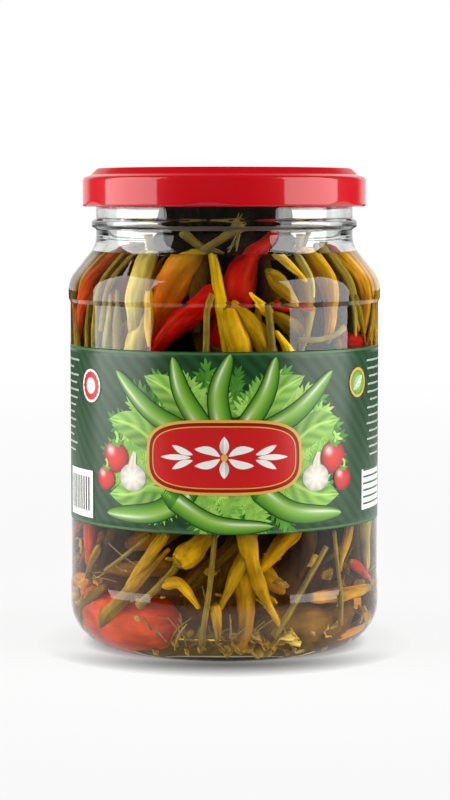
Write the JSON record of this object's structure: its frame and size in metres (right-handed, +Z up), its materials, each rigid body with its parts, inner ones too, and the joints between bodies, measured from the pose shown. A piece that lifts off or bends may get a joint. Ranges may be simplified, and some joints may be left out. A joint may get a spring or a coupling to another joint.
{
  "type": "jar of pickled peppers",
  "caption": "Clear glass jar of mixed pickled chilli peppers in brine, with a red metal twist-off lid and a green wrap-round paper label.",
  "frame": {"origin": "middle of the underside, on the plane that the jar stands on", "axes": "+Z up through the lid; the front of the label faces -Y; +X to the right of the label"},
  "size_m": [0.094, 0.094, 0.1436],
  "materials": {
    "glass": "clear polished glass",
    "red_enamel": "gloss enamel over tinplate",
    "sealing_compound": "soft matte compound",
    "label_paper": "coated printed paper",
    "brine": "clear tinted liquid",
    "red_pepper": "wet waxy skin",
    "pale_pepper": "wet waxy skin",
    "olive_pepper": "wet waxy skin",
    "orange_pepper": "wet waxy skin",
    "yellow_pepper": "wet waxy skin",
    "dark_pepper": "wet waxy skin"
  },
  "bodies": {
    "root": {"jar": "glass", "lid": "red_enamel", "sealing_compound": "sealing_compound", "label": "label_paper", "brine": "brine", "pepper_red_left": "red_pepper", "pepper_pale_left": "pale_pepper", "pepper_stem_left": "olive_pepper", "pepper_orange_left": "orange_pepper", "pepper_yellow_front": "yellow_pepper", "pepper_red_long": "red_pepper", "pepper_orange_right": "orange_pepper", "pepper_olive_right": "olive_pepper", "pepper_red_far_right": "red_pepper", "pepper_yellow_back_right": "yellow_pepper", "pepper_orange_back": "orange_pepper", "pepper_green_back_left": "olive_pepper", "pepper_yellow_far_left": "yellow_pepper", "pepper_dark_left": "dark_pepper", "pepper_dark_back_left": "dark_pepper", "pepper_dark_back": "dark_pepper", "pepper_dark_back_right": "dark_pepper", "pepper_dark_right": "dark_pepper", "pepper_dark_inner_left": "dark_pepper", "pepper_dark_inner_right": "dark_pepper"}
  },
  "joints": []
}
